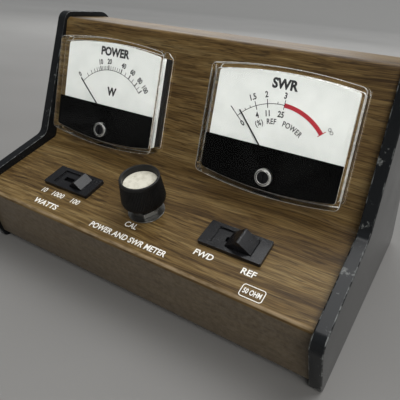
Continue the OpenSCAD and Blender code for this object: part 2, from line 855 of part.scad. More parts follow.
// Bezel with a shallow tray across its window, slotted for the slider's neck
module switch_bezel(grip_w) {
    slot = 2 * grip_reach(grip_w) + NECK_W + SLOT_FIT;
    corners = [
        [-bezel_w / 2, -bezel_h / 2], [bezel_w / 2, -bezel_h / 2],
        [bezel_w / 2, bezel_h / 2], [-bezel_w / 2, bezel_h / 2]
    ];
    color("#141416")
    difference() {
        union() {
            linear_extrude(BEZEL_T) polygon(rounded(corners, [0.6, 0.6, 0.6, 0.6]));
            at_clips() slab(CLIP_W, CLIP_D, CLIP_FOOT, EPS);
            for (sy = [-1, 1])
                translate([0, sy * BARB_REACH, 0])
                    at_clips() slab(CLIP_W, CLIP_D, CLIP_FOOT, CLIP_FOOT + 0.5);
        }
        slab(window_w, window_h, TRAY_TOP, BEZEL_T + 1);
        slab(window_w, window_h, -1, TRAY_TOP - TRAY_T);
        slab(slot, NECK_D + SLOT_FIT, -1, BEZEL_T);
    }
}

// Slider at the right-hand end of its travel
module switch_slider(grip_w, peak) {
    half = grip_w / 2;
    color("#101012")
    translate([grip_reach(grip_w), 0, 0]) {
        rotate([90, 0, 0])
            translate([0, 0, -GRIP_D / 2])
                linear_extrude(GRIP_D)
                    polygon([
                        [-half, TRAY_TOP + GRIP_GAP], [half, TRAY_TOP + GRIP_GAP], [half, BEZEL_T],
                        [RIDGE_HALF, peak], [-RIDGE_HALF, peak], [-half, BEZEL_T]
                    ]);
        slab(NECK_W, NECK_D, SKIRT_TOP - EPS, TRAY_TOP + GRIP_GAP + EPS);
        slab(2 * skirt_reach(grip_w), GRIP_D, SKIRT_TOP - SKIRT_T, SKIRT_TOP);
        slab(STEM_W, STEM_D, CONTACT_Z, SKIRT_TOP - SKIRT_T + EPS);
    }
}

module switch_frame(grip_w) {
    half = frame_half(grip_w);
    slot = 2 * grip_reach(grip_w) + STEM_W + 0.8;
    color("#a3a6a9")
    difference() {
        slab(2 * half + 1.6, 13.6, FRAME_FLOOR, -sheet_t);
        slab(2 * half, 12, RAIL_Z, 0);
        slab(2 * half, 12, FRAME_FLOOR - 1, RAIL_Z - RAIL_T);
        slab(slot, STEM_D + 0.8, FRAME_FLOOR, 0);
        at_clips() slab(CLIP_W + 0.2, CLIP_D + 0.2, FRAME_FLOOR, 0);
    }
}

// Insulating board with two rows of riveted solder tags
module switch_terminals(grip_w, ways) {
    half = frame_half(grip_w);
    color("#7a4a26") {
        slab(2 * half - 0.2, 11.8, FRAME_FLOOR + 0.1, FRAME_FLOOR + 1.1);
        for (i = [0:ways - 1], side = [-1, 1])
            translate([(i - (ways - 1) / 2) * 4.4, side * 3.4, 0])
                slab(1.8, 0.6, FRAME_FLOOR - 4.5, FRAME_FLOOR + 1.6);
    }
}

module switch_contact(grip_w) {
    color("#c49a48")
    translate([grip_reach(grip_w), 0, 0]) slab(6.4, 8.4, CONTACT_Z - 0.6, CONTACT_Z);
}

RANGE_PEAK = 4.4;
MODE_PEAK = 5.5;

module on_range() { on_deck(-switch_x, control_v) children(); }
module on_mode() { on_deck(switch_x, control_v) children(); }

module range_switch_bezel() { on_range() switch_bezel(range_grip_w); }
module range_switch_slider() { on_range() switch_slider(range_grip_w, RANGE_PEAK); }
module range_switch_frame() { on_range() switch_frame(range_grip_w); }
module range_switch_terminals() { on_range() switch_terminals(range_grip_w, 4); }
module range_switch_contact() { on_range() switch_contact(range_grip_w); }

module mode_switch_bezel() { on_mode() switch_bezel(mode_grip_w); }
module mode_switch_slider() { on_mode() switch_slider(mode_grip_w, MODE_PEAK); }
module mode_switch_frame() { on_mode() switch_frame(mode_grip_w); }
module mode_switch_terminals() { on_mode() switch_terminals(mode_grip_w, 3); }
module mode_switch_contact() { on_mode() switch_contact(mode_grip_w); }

// ---- Coaxial sockets and coupler: local origin on the rear panel, local Z outwards ----

SOCKET_FLANGE_W = 25.4;
SOCKET_FLANGE_T = 2.4;
SOCKET_LEN = 14;
SOCKET_BORE_R = 6.1;
CONTACT_R = 2.5;
BOARD_Z = -11;
BOARD_T = 1.6;
BOARD_W = 84;
BOARD_H = 26;
PIN_R = 1.2;
DIODE_R = 0.95;
RESISTOR_R = 1.2;
CAPACITOR_R = 2.6;

module at_socket_screws() {
    for (sx = [-1, 1], sy = [-1, 1])
        translate([sx * SOCKET_PITCH / 2, sy * SOCKET_PITCH / 2, 0]) children();
}

module socket_shell() {
    color("#b4b7ba")
    difference() {
        union() {
            slab(SOCKET_FLANGE_W, SOCKET_FLANGE_W, 0, SOCKET_FLANGE_T);
            rod(SOCKET_BOSS_R, -2.2, EPS);
            rod(socket_thread_r, SOCKET_FLANGE_T - EPS, SOCKET_LEN);
        }
        rod(SOCKET_BORE_R, -3, SOCKET_LEN + 1);
        at_socket_screws() rod(SOCKET_SCREW_R + 0.1, -1, SOCKET_FLANGE_T + 1);
    }
}

module transmitter_socket() {
    on_rear(-socket_x, socket_v) socket_shell();
}

module antenna_socket() {
    on_rear(socket_x, socket_v) socket_shell();
}

module socket_insulators() {
    color("#e9e4d4")
    for (side = [-1, 1])
        on_rear(side * socket_x, socket_v) tube(SOCKET_BORE_R, CONTACT_R, -5, 4.5);
}

module socket_contacts() {
    color("#c9a24a")
    for (side = [-1, 1])
        on_rear(side * socket_x, socket_v)
            difference() {
                union() {
                    rod(CONTACT_R, -6, SOCKET_LEN - 1.6);
                    rod(PIN_R, BOARD_Z - 1.4, -6 + EPS);
                }
                rod(socket_contact_r, 1.4, SOCKET_LEN);
            }
}

module socket_screws() {
    color("silver")
    for (side = [-1, 1])
        on_rear(side * socket_x, socket_v)
            at_socket_screws() {
                difference() {
                    rod(2.8, SOCKET_FLANGE_T, SOCKET_FLANGE_T + 1.8);
                    slab(0.8, 6, SOCKET_FLANGE_T + 1, SOCKET_FLANGE_T + 2);
                }
                rod(SOCKET_SCREW_R, -5, SOCKET_FLANGE_T + EPS);
                hex_nut(2.9, SOCKET_SCREW_R, -sheet_t - 2.2, -sheet_t);
            }
}

module coupler_board() {
    color("#b28a45")
    on_rear(0, socket_v)
        difference() {
            slab(BOARD_W, BOARD_H, BOARD_Z, BOARD_Z + BOARD_T);
            for (side = [-1, 1])
                translate([side * socket_x, 0, 0]) rod(PIN_R + 0.1, BOARD_Z - 1, BOARD_Z + 3);
        }
}

// Two diodes, two resistors, two disc capacitors and the line conductor
module coupler_parts() {
    color("#7d4b2c")
    on_rear(0, socket_v) {
        for (side = [-1, 1]) {
            translate([side * 18, 7, BOARD_Z - DIODE_R])
                rotate([0, 90, 0]) rod(DIODE_R, -2.2, 2.2);
            translate([side * 18, -7, BOARD_Z - RESISTOR_R])
                rotate([0, 90, 0]) rod(RESISTOR_R, -3.2, 3.2);
            translate([side * 7, 8, BOARD_Z - CAPACITOR_R])
                rotate([90, 0, 0]) rod(CAPACITOR_R, -0.8, 0.8);
        }
        slab(2 * socket_x - 4, 3, BOARD_Z - 0.3, BOARD_Z);
    }
}

front_panel();
base_tray();
rear_panel();
left_end_cap();
right_end_cap();
end_cap_screws();
base_screws();
power_meter_cover();
power_meter_mask();
power_meter_dial();
power_meter_housing();
power_meter_yoke();
power_meter_core();
power_meter_bridge();
power_meter_fixings();
power_meter_terminals();
power_pointer();
power_moving_coil();
power_hairspring();
power_zero_arm();
power_zero_screw();
swr_meter_cover();
swr_meter_mask();
swr_meter_dial();
swr_meter_housing();
swr_meter_yoke();
swr_meter_core();
swr_meter_bridge();
swr_meter_fixings();
swr_meter_terminals();
swr_pointer();
swr_moving_coil();
swr_hairspring();
swr_zero_arm();
swr_zero_screw();
cal_control_body();
cal_control_nut();
cal_control_washer();
cal_shaft();
cal_wiper();
cal_knob();
cal_knob_insert();
range_switch_bezel();
range_switch_slider();
range_switch_frame();
range_switch_terminals();
range_switch_contact();
mode_switch_bezel();
mode_switch_slider();
mode_switch_frame();
mode_switch_terminals();
mode_switch_contact();
transmitter_socket();
antenna_socket();
socket_insulators();
socket_contacts();
socket_screws();
coupler_board();
coupler_parts();
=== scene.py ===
"""Looks of a bench power and standing-wave-ratio meter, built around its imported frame.

Metres throughout. X runs along the front, Y to the back, Z up, and the front faces -Y.
Each face of the cabinet has its own local frame: X to the right, Y up the face, Z outwards.
"""
import json
import math

import bmesh
import bpy
from mathutils import Matrix, Vector


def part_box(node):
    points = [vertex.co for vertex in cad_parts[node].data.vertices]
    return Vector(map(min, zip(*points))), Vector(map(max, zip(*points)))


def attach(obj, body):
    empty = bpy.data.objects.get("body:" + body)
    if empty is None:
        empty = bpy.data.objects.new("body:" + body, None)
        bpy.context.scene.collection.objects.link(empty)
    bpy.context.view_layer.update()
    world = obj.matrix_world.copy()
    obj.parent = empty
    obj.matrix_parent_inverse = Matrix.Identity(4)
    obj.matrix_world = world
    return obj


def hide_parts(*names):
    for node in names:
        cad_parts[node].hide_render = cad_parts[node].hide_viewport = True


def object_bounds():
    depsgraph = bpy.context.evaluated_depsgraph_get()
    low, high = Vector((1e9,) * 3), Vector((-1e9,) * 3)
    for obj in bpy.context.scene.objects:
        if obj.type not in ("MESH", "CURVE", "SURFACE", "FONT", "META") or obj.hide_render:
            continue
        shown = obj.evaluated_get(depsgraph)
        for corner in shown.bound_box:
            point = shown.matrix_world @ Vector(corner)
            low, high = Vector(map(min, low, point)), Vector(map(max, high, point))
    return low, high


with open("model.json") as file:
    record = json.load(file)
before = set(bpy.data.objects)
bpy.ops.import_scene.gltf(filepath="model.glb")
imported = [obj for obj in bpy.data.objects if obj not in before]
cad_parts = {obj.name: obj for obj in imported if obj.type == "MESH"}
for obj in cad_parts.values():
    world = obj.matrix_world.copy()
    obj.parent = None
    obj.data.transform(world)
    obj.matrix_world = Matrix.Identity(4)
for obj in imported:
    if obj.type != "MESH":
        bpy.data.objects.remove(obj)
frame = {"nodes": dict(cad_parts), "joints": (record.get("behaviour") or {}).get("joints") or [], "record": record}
CAD_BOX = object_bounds()

MM = 0.001
RECORD = frame["record"]
BODY_OF = {n: body for body, nodes in RECORD["behaviour"]["bodies"].items() for n in nodes}
SLOT_OF = {part["node"]: part["material_slot"] for part in RECORD["subparts"]}
METERS = ("power", "swr")
SWITCHES = ("range_switch", "mode_switch")


# ---- Local frames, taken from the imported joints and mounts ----


def named(rows, name):
    return next(row for row in rows if row["name"] == name)


def reach_of(node, normal, pick):
    """How far a CAD node reaches along a direction: pick is min or max."""
    return pick(v.co.dot(normal) for v in frame["nodes"][node].data.vertices)


def face_frame(place, normal, level, right):
    """Frame on the face at that level along its normal, below the given place."""
    z = Vector(normal).normalized()
    x = Vector(right)
    turn = Matrix((x, z.cross(x), z)).transposed()
    origin = Vector(place) + z * (level - Vector(place).dot(z))
    return Matrix.Translation(origin) @ turn.to_4x4()


def hinge_frame(joint_name, resting_node):
    """Frame at a hinge's axis, on the face that the given node rests on."""
    joint = named(frame["joints"], joint_name)
    normal = -Vector(joint["axis"])
    level = reach_of(resting_node, normal, min)
    return face_frame(joint["pos_m"], normal, level, (1, 0, 0))


def socket_frame(name):
    mount = named(RECORD["mounts"], name + "_thread")
    normal = Vector(mount["axis"])
    level = reach_of("rear_panel", normal, max)
    return face_frame(mount["pos_m"], normal, level, (-1, 0, 0))


def local_box(node, place):
    """A CAD node's lowest and highest corners in a local frame."""
    back = place.inverted()
    points = [back @ v.co for v in frame["nodes"][node].data.vertices]
    low = Vector([min(p[i] for p in points) for i in range(3)])
    high = Vector([max(p[i] for p in points) for i in range(3)])
    return low, high


DECK = hinge_frame("cal_turn", "cal_control_washer")
DIAL = {m: hinge_frame(m + "_needle", m + "_meter_cover") for m in METERS}
SOCKETS = {name: socket_frame(name) for name in ("transmitter_socket", "antenna_socket")}


# ---- Materials ----


class Finish:
    """One procedural material under construction, with short calls for its nodes."""

    def __init__(self, name, color, rough, metal=0.0, **sockets):
        self.material = bpy.data.materials.new(name)
        self.material.use_nodes = True
        self.tree = self.material.node_tree
        self.shader = self.tree.nodes["Principled BSDF"]
        self.place = self.node("ShaderNodeTexCoord").outputs["Object"]
        self.put("Base Color", (*color, 1.0))
        self.put("Roughness", rough)
        self.put("Metallic", metal)
        for key, value in sockets.items():
            self.put(key.replace("_", " ").title().replace("Ior", "IOR"), value)

    def put(self, key, value):
        """Sets one of the shader's sockets to a plain value or to a node's output."""
        self.feed(self.shader.inputs[key], value)

    def feed(self, socket, value):
        if isinstance(value, bpy.types.NodeSocket):
            self.tree.links.new(value, socket)
        else:
            socket.default_value = value

    def node(self, kind, inputs=None, **settings):
        made = self.tree.nodes.new(kind)
        for key, value in settings.items():
            setattr(made, key, value)
        for key, value in (inputs or {}).items():
            self.feed(made.inputs[key], value)
        return made

    def scaled(self, scale, vector=None):
        """Coordinates stretched by a scale for each axis, in features per metre."""
        links = {0: vector or self.place, 1: Vector(scale)}
        return self.node("ShaderNodeVectorMath", links, operation="MULTIPLY").outputs[0]

    def noise(self, scale, detail=2.0, rough=0.5, vector=None):
        links = {
            "Vector": self.scaled(scale, vector),
            "Scale": 1.0,
            "Detail": detail,
            "Roughness": rough,
        }
        return self.node("ShaderNodeTexNoise", links).outputs[0]

    def specks(self, scale, size):
        """Scattered round spots: 1 at a spot's middle, falling to 0 at its edge."""
        links = {"Vector": self.scaled((scale,) * 3), "Scale": 1.0}
        cells = self.node("ShaderNodeTexVoronoi", links)
        return self.span(cells.outputs["Distance"], size, 0.0)

    def span(self, value, low, high, to_low=0.0, to_high=1.0):
        """Maps the range low to high onto another range, and clamps it."""
        links = {0: value, 1: low, 2: high, 3: to_low, 4: to_high}
        return self.node("ShaderNodeMapRange", links).outputs[0]

    def ramp(self, value, *stops):
        """Colour ramp through (position, colour) stops."""
        made = self.node("ShaderNodeValToRGB", {0: value})
        elements = made.color_ramp.elements
        while len(elements) < len(stops):
            elements.new(0.5)
        for element, (position, color) in zip(elements, stops):
            element.position = position
            element.color = (*color, 1.0)
        return made.outputs[0]

    def mix(self, share, first, second, blend="MIX"):
        made = self.node("ShaderNodeMix", {0: share}, data_type="RGBA", blend_type=blend)
        for index, color in ((6, first), (7, second)):
            plain = not isinstance(color, bpy.types.NodeSocket)
            self.feed(made.inputs[index], (*color, 1.0) if plain else color)
        return made.outputs[2]

    def add(self, first, second, operation="ADD"):
        links = {0: first, 1: second}
        return self.node("ShaderNodeMath", links, operation=operation).outputs[0]

    def bump(self, height, distance, strength=1.0):
        links = {"Height": height, "Distance": distance, "Strength": strength}
        self.put("Normal", self.node("ShaderNodeBump", links).outputs[0])

    def facing(self):
        """The surface's direction in the shared frame."""
        return self.node("ShaderNodeTexCoord").outputs["Normal"]

    def lit_through(self, tint):
        """Lets shadow rays pass, so that lamps light what lies behind."""
        clear = self.node("ShaderNodeBsdfTransparent", {0: tint}).outputs[0]
        shadow_ray = self.node("ShaderNodeLightPath").outputs["Is Shadow Ray"]
        links = {0: shadow_ray, 1: self.shader.outputs[0], 2: clear}
        choice = self.node("ShaderNodeMixShader", links).outputs[0]
        self.tree.links.new(choice, self.tree.nodes["Material Output"].inputs["Surface"])


def wavy_place(f, sway):
    """Coordinates that wander up and down by up to a distance, so that streaks along X curve."""
    links = {"Vector": f.scaled((14, 40, 40)), "Scale": 1.0, "Detail": 2.0}
    drift = f.node("ShaderNodeTexNoise", links).outputs["Color"]
    links = {0: drift, 1: Vector((0, sway, sway)), 2: f.place}
    return f.node("ShaderNodeVectorMath", links, operation="MULTIPLY_ADD").outputs[0]


def walnut_grain(f, wavy):
    """The printed figure: its colour, the fine fibres and the dark pores."""
    broad = f.noise((7, 110, 110), 3.0, 0.6, wavy)
    streaks = f.noise((34, 900, 900), 4.0, 0.7, wavy)
    figure = f.add(f.add(broad, 0.42, "MULTIPLY"), f.add(streaks, 0.58, "MULTIPLY"))
    color = f.ramp(
        figure,
        (0.37, (0.034, 0.018, 0.006)),
        (0.45, (0.078, 0.046, 0.015)),
        (0.52, (0.122, 0.076, 0.026)),
        (0.61, (0.180, 0.124, 0.052)),
    )
    fibres = f.noise((70, 2600, 2600), 2.0, 0.6, wavy)
    color = f.mix(0.8, color, f.ramp(fibres, (0.3, (0.55,) * 3), (0.7, (1.5,) * 3)), "MULTIPLY")
    pores = f.span(f.noise((130, 1500, 1500), 2.0, 0.5, wavy), 0.58, 0.68)
    color = f.mix(f.add(pores, 0.6, "MULTIPLY"), color, (0.022, 0.012, 0.006))
    return color, fibres, pores


def rubbed_bend(f, facing_up):
    """Painted highlight where the front panel bends over into its lip: a pale band on the upper part of the bend,
    broken up by noise.
    """
    bend = f.add(f.span(facing_up, 0.9, 0.7), f.span(facing_up, 0.22, 0.4), "MULTIPLY")
    pale_edge = f.add(bend, f.span(f.noise((90, 300, 300), 3.0, 0.7), 0.3, 0.6), "MULTIPLY")
    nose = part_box("front_panel")[0].y
    bend_start, bend_end = nose + 11 * MM, nose + 13 * MM
    depth = f.node("ShaderNodeSeparateXYZ", {0: f.place}).outputs["Y"]
    return f.add(pale_edge, f.span(depth, bend_end, bend_start), "MULTIPLY")


def walnut_vinyl():
    """Printed walnut film: wavy streaks, fine fibres and dark pores, all along X.

    The lip, which faces down, is greyer and nearly plain, and its bend carries a pale painted highlight.
    """
    f = Finish("walnut_vinyl", (0.11, 0.07, 0.03), 0.45, specular_ior_level=0.22)
    color, fibres, pores = walnut_grain(f, wavy_place(f, 6 * MM))
    facing_up = f.node("ShaderNodeSeparateXYZ", {0: f.facing()}).outputs["Z"]
    speckled = f.noise((520, 520, 520), 4.0, 0.7)
    grey = f.ramp(speckled, (0.3, (0.085, 0.068, 0.047)), (0.7, (0.155, 0.130, 0.098)))
    lip = f.span(facing_up, -0.05, -0.28)
    color = f.mix(f.add(lip, 0.82, "MULTIPLY"), color, grey)
    pale_edge = rubbed_bend(f, facing_up)
    # Pale colour along the lip bend: painted highlight.
    f.put("Base Color", f.mix(f.add(pale_edge, 0.7, "MULTIPLY"), color, (0.36, 0.27, 0.165)))
    f.put("Roughness", f.span(fibres, 0.25, 0.75, 0.36, 0.5))
    f.bump(f.add(fibres, pores, "SUBTRACT"), 0.03 * MM, 0.5)
    return f.material


def black_enamel():
    """Stove enamel with a fine orange-peel skin."""
    f = Finish("black_enamel", (0.011, 0.011, 0.012), 0.36, specular_ior_level=0.4)
    dust = f.noise((160, 160, 160), 5.0, 0.7)
    f.put("Base Color", f.ramp(dust, (0.35, (0.009, 0.009, 0.010)), (0.8, (0.019, 0.019, 0.018))))
    f.put("Roughness", f.span(dust, 0.3, 0.7, 0.32, 0.42))
    f.bump(f.noise((1100, 1100, 1100), 3.0), 0.06 * MM, 0.6)
    return f.material


def cap_plastic():
    """Glossy moulded black, with hairline scratches, pale wear along its edges, and pale patches on its rim that
    are partly scuffs and partly painted reflection.
    """
    f = Finish("cap_plastic", (0.007, 0.008, 0.009), 0.2, specular_ior_level=0.22)
    haze = f.noise((70, 70, 70), 4.0, 0.6)
    color = f.ramp(haze, (0.40, (0.006, 0.007, 0.008)), (0.80, (0.009, 0.010, 0.011)))
    hairline = f.span(f.noise((1800, 90, 1500), 2.0, 0.5), 0.71, 0.76)
    color = f.mix(f.add(hairline, 0.06, "MULTIPLY"), color, (0.10, 0.105, 0.11))
    sideways = f.add(f.node("ShaderNodeSeparateXYZ", {0: f.facing()}).outputs["X"], 0, "ABSOLUTE")
    edge = f.add(f.span(sideways, 0.05, 0.3), f.span(sideways, 0.98, 0.85), "MULTIPLY")
    ragged = f.span(f.noise((300, 300, 300), 4.0, 0.65), 0.46, 0.62)
    pale_edge = f.add(edge, ragged, "MULTIPLY")
    color = f.mix(f.add(pale_edge, 0.7, "MULTIPLY"), color, (0.19, 0.2, 0.195))
    # Pale patches on the faces that don't face sideways: partly scuffs, partly painted reflection of the overhead
    # light.
    patchy = f.span(f.noise((150, 150, 150), 5.0, 0.72), 0.60, 0.68)
    rim = f.span(sideways, 0.5, 0.2)
    scuffs_and_glints = f.add(f.add(patchy, rim, "MULTIPLY"), 0.6, "MULTIPLY")
    f.put("Base Color", f.mix(scuffs_and_glints, color, (0.26, 0.27, 0.26)))
    f.put("Roughness", f.add(f.span(haze, 0.35, 0.75, 0.19, 0.23), f.add(scuffs_and_glints, 0.4, "MULTIPLY")))
    f.bump(f.noise((700, 700, 700), 2.0), 0.01 * MM, 0.3)
    return f.material


def moulded(name, color, rough, gloss):
    """Moulded plastic: a faint skin texture, uneven gloss and a little dust."""
    f = Finish(name, color, rough, specular_ior_level=gloss)
    patches = f.noise((110, 110, 110), 4.0, 0.6)
    paler = tuple(min(c * 1.4 + 0.0024, 1.0) for c in color)
    f.put("Base Color", f.ramp(patches, (0.35, color), (0.8, paler)))
    f.put("Roughness", f.span(patches, 0.3, 0.7, rough * 0.8, min(rough * 1.3, 1.0)))
    f.bump(f.noise((1400, 1400, 1400), 2.0), 0.03 * MM, 0.5)
    return f.material


def metal(name, color, rough):
    """Metal with fine drawing marks and darker, duller patches."""
    f = Finish(name, color, rough, 1.0)
    marks = f.noise((200, 2400, 2400), 2.0, 0.6)
    patches = f.span(f.noise((160, 160, 160), 4.0, 0.6), 0.48, 0.78)
    darker = tuple(c * share for c, share in zip(color, (0.5, 0.45, 0.4)))
    f.put("Base Color", f.mix(patches, color, darker))
    brushed = f.span(marks, 0.3, 0.7, rough * 0.75, rough * 1.25)
    f.put("Roughness", f.add(brushed, f.add(patches, 0.12, "MULTIPLY")))
    f.bump(marks, 0.02 * MM, 0.4)
    return f.material


def clear_plastic():
    """Clear moulding with faint scratches; lamps shine through it on to the dial."""
    f = Finish("clear_plastic", (0.97, 0.985, 0.98), 0.03, transmission_weight=1.0, ior=1.18)
    scratch = f.span(f.noise((260, 2600, 2600), 2.0, 0.6), 0.64, 0.78)
    f.put("Roughness", f.span(scratch, 0.0, 1.0, 0.015, 0.1))
    f.bump(f.noise((240, 240, 240), 2.0), 0.01 * MM, 0.2)
    f.lit_through((0.95, 0.96, 0.955, 1.0))
    return f.material


def clear_edge():
    """The clear moulding's rounded edges: half clear, with a pale colour that is a painted highlight."""
    f = Finish("clear_edge", (0.62, 0.62, 0.59), 0.22, transmission_weight=0.45, ior=1.49)
    blotches = f.noise((500, 500, 500), 3.0, 0.6)
    # Pale blotchy colour on the rounded edges: painted highlight.
    f.put("Base Color", f.ramp(blotches, (0.3, (0.44, 0.44, 0.41)), (0.65, (0.80, 0.80, 0.77))))
    f.put("Roughness", f.span(blotches, 0.3, 0.7, 0.14, 0.3))
    f.lit_through((0.8, 0.8, 0.79, 1.0))
    return f.material


def gloss_mask():
    """Gloss black paint inside the window, with a few dust specks."""
    f = Finish("gloss_mask", (0.001, 0.001, 0.001), 0.16, specular_ior_level=0.05)
    sparse = f.span(f.noise((60, 60, 60), 3.0, 0.6), 0.54, 0.72)
    dust = f.add(f.specks(900, 0.11), sparse, "MULTIPLY")
    f.put("Base Color", f.mix(f.add(dust, 0.5, "MULTIPLY"), (0.001,) * 3, (0.05, 0.048, 0.045)))
    f.put("Roughness", f.span(sparse, 0.0, 1.0, 0.14, 0.22))
    return f.material


def dial_white():
    """Matt white scale plate, very slightly mottled."""
    f = Finish("dial_white", (0.8, 0.81, 0.79), 0.55)
    mottle = f.noise((160, 160, 160), 3.0)
    f.put("Base Color", f.ramp(mottle, (0.3, (0.69, 0.70, 0.685)), (0.7, (0.76, 0.765, 0.75))))
    f.bump(f.noise((3000, 3000, 3000), 1.0), 0.01 * MM, 0.3)
    return f.material


def wound_copper():
    """Enamelled wire laid turn beside turn."""
    f = Finish("wound_copper", (0.58, 0.24, 0.09), 0.3, 1.0)
    links = {"Vector": f.scaled((1, 1, 1)), "Scale": 2600.0, "Distortion": 0.4}
    turns = f.node("ShaderNodeTexWave", links, bands_direction="Z").outputs[1]
    f.put("Base Color", f.mix(turns, (0.30, 0.10, 0.035), (0.66, 0.30, 0.12)))
    f.bump(turns, 0.08 * MM)
    return f.material


def spun_ivory():
    """Ivory plastic disc with a fine grain, mottled by grime."""
    f = Finish("spun_ivory", (0.80, 0.78, 0.68), 0.32)
    grime = f.noise((420, 420, 420), 4.0, 0.65)
    f.put("Base Color", f.ramp(grime, (0.30, (0.47, 0.45, 0.36)), (0.55, (0.66, 0.64, 0.545))))
    f.bump(f.noise((1800, 1800, 1800), 2.0), 0.03 * MM, 0.5)
    return f.material


def laminate(name, color):
    """Pressed paper board with a faint crossed weave."""
    f = Finish(name, color, 0.5)
    weave = f.add(f.noise((250, 2500, 2500)), f.noise((2500, 250, 2500)), "MULTIPLY")
    darker = tuple(c * 0.6 for c in color)
    f.put("Base Color", f.ramp(weave, (0.12, darker), (0.4, color)))
    f.bump(weave, 0.04 * MM, 0.5)
    return f.material


def ink(name, color):
    """Screen-printing ink, slightly patchy."""
    f = Finish(name, color, 0.5)
    patchy = f.noise((2200, 2200, 2200), 2.0)
    thinner = tuple(c * 0.82 for c in color)
    f.put("Base Color", f.ramp(patchy, (0.25, thinner), (0.5, color)))
    return f.material


def make_materials():
    """Every record slot's material, and the printing inks, by name."""
    made = {
        "woodgrain_vinyl": walnut_vinyl(),
        "black_enamel": black_enamel(),
        "cap_plastic": cap_plastic(),
        "clear_plastic": clear_plastic(),
        "clear_edge": clear_edge(),
        "mask_black": gloss_mask(),
        "dial_white": dial_white(),
        "copper_wire": wound_copper(),
        "insert_ivory": spun_ivory(),
        "phenolic_brown": laminate("phenolic_brown", (0.24, 0.12, 0.045)),
        "white_ink": ink("white_ink", (0.86, 0.85, 0.80)),
        "black_ink": ink("black_ink", (0.012, 0.012, 0.014)),
        "red_ink": ink("red_ink", (0.38, 0.012, 0.024)),
    }
    plastics = (
        ("housing_black", (0.012, 0.012, 0.013), 0.5, 0.3),
        ("screw_black", (0.004, 0.004, 0.005), 0.3, 0.22),
        ("knob_black", (0.006, 0.006, 0.006), 0.42, 0.3),
        ("switch_black", (0.006, 0.006, 0.007), 0.24, 0.4),
        ("ptfe_white", (0.82, 0.80, 0.74), 0.45, 0.5),
        ("part_body", (0.36, 0.17, 0.075), 0.4, 0.5),
        ("pointer_black", (0.008, 0.008, 0.009), 0.45, 0.3),
    )
    for name, color, rough, gloss in plastics:
        made[name] = moulded(name, color, rough, gloss)
    metals = (
        ("plated_steel", (0.24, 0.24, 0.23), 0.36),
        ("pot_steel", (0.30, 0.30, 0.29), 0.42),
        ("soft_iron", (0.42, 0.43, 0.45), 0.4),
        ("magnet", (0.24, 0.25, 0.27), 0.45),
        ("brass", (0.72, 0.52, 0.22), 0.28),
        ("arm_nickel", (0.68, 0.67, 0.64), 0.25),
        ("nickel_plate", (0.66, 0.65, 0.60), 0.2),
    )
    for name, color, rough in metals:
        made[name] = metal(name, color, rough)
    return made


MATERIALS = make_materials()


# ---- Pieces ----


def add_piece(name, mesh, body, material, replaces=()):
    """A finished mesh in the shared frame, as a piece that rides on a body."""
    mesh.materials.clear()
    mesh.materials.append(MATERIALS[material])
    piece = bpy.data.objects.new(name, mesh)
    bpy.context.scene.collection.objects.link(piece)
    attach(piece, body)
    if replaces:
        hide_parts(*replaces)
    return piece


# Edge angles, in degrees
SMOOTH_BELOW = 28
BEVEL_ABOVE = 32


def smooth(mesh, angle=SMOOTH_BELOW):
    """Smooth shading, with sharp edges above the given angle in degrees."""
    mesh.polygons.foreach_set("use_smooth", [True] * len(mesh.polygons))
    mesh.set_sharp_from_angle(angle=math.radians(angle))


def clean_copy(node):
    """A CAD node's solid as a bmesh with its flat faces whole."""
    source = frame["nodes"][node].data
    bm = bmesh.new()
    corners = [bm.verts.new(v.co) for v in source.vertices]
    for polygon in source.polygons:
        bm.faces.new([corners[i] for i in polygon.vertices])
    bmesh.ops.remove_doubles(bm, verts=bm.verts, dist=1e-6)
    flat = math.radians(0.4)
    bmesh.ops.dissolve_limit(bm, angle_limit=flat, verts=bm.verts, edges=bm.edges)
    return bm


def mesh_from(bm, name):
    mesh = bpy.data.meshes.new(name)
    bm.to_mesh(mesh)
    bm.free()
    return mesh


def stand_in(node, bm, bevel):
    """The piece that stands for a CAD node, with its edges rounded by the bevel width."""
    mesh = mesh_from(bm, "refined_" + node)
    smooth(mesh)
    slot = SLOT_OF[node]
    piece = add_piece("refined_" + node, mesh, BODY_OF[node], slot, (node,))
    if bevel:
        rounding = piece.modifiers.new("rounding", "BEVEL")
        rounding.width = bevel
        rounding.segments = 3
        rounding.limit_method = "ANGLE"
        rounding.angle_limit = math.radians(BEVEL_ABOVE)
        rounding.use_clamp_overlap = True
        rounding.harden_normals = True
        if slot == "clear_plastic":
            mesh.materials.append(MATERIALS["clear_edge"])
            rounding.material = 1  # the second slot, for the rounded edges alone
    return piece


def refine_nodes():
    """Rounded-edge copies of the CAD nodes whose edges show."""
    bevels = {
        "front_panel": 0.0,
        "rear_panel": 0.2 * MM,
        "base_tray": 0.2 * MM,
        "left_end_cap": 0.5 * MM,
        "right_end_cap": 0.5 * MM,
        "base_screws": 0.3 * MM,
        "cal_control_nut": 0.3 * MM,
        "cal_control_washer": 0.12 * MM,
        "socket_screws": 0.3 * MM,
        "socket_insulators": 0.3 * MM,
    }
    for meter in METERS:
        bevels[meter + "_meter_cover"] = 0.7 * MM
        bevels[meter + "_zero_screw"] = 0.15 * MM
        bevels[meter + "_meter_mask"] = 0.0
    for switch in SWITCHES:
        bevels[switch + "_bezel"] = 0.22 * MM
        bevels[switch + "_slider"] = 0.18 * MM
    for node, width in bevels.items():
        stand_in(node, clean_copy(node), width)


def finish_plain_nodes():
    """Materials for the CAD nodes that keep their own mesh."""
    for node, thing in frame["nodes"].items():
        if thing.hide_render:
            continue
        thing.data.materials.clear()
        thing.data.materials.append(MATERIALS[SLOT_OF[node]])


# ---- Turned pieces ----


def as_given(i, k, radius):
    """The profile's own radius: a plain round shape."""
    return radius


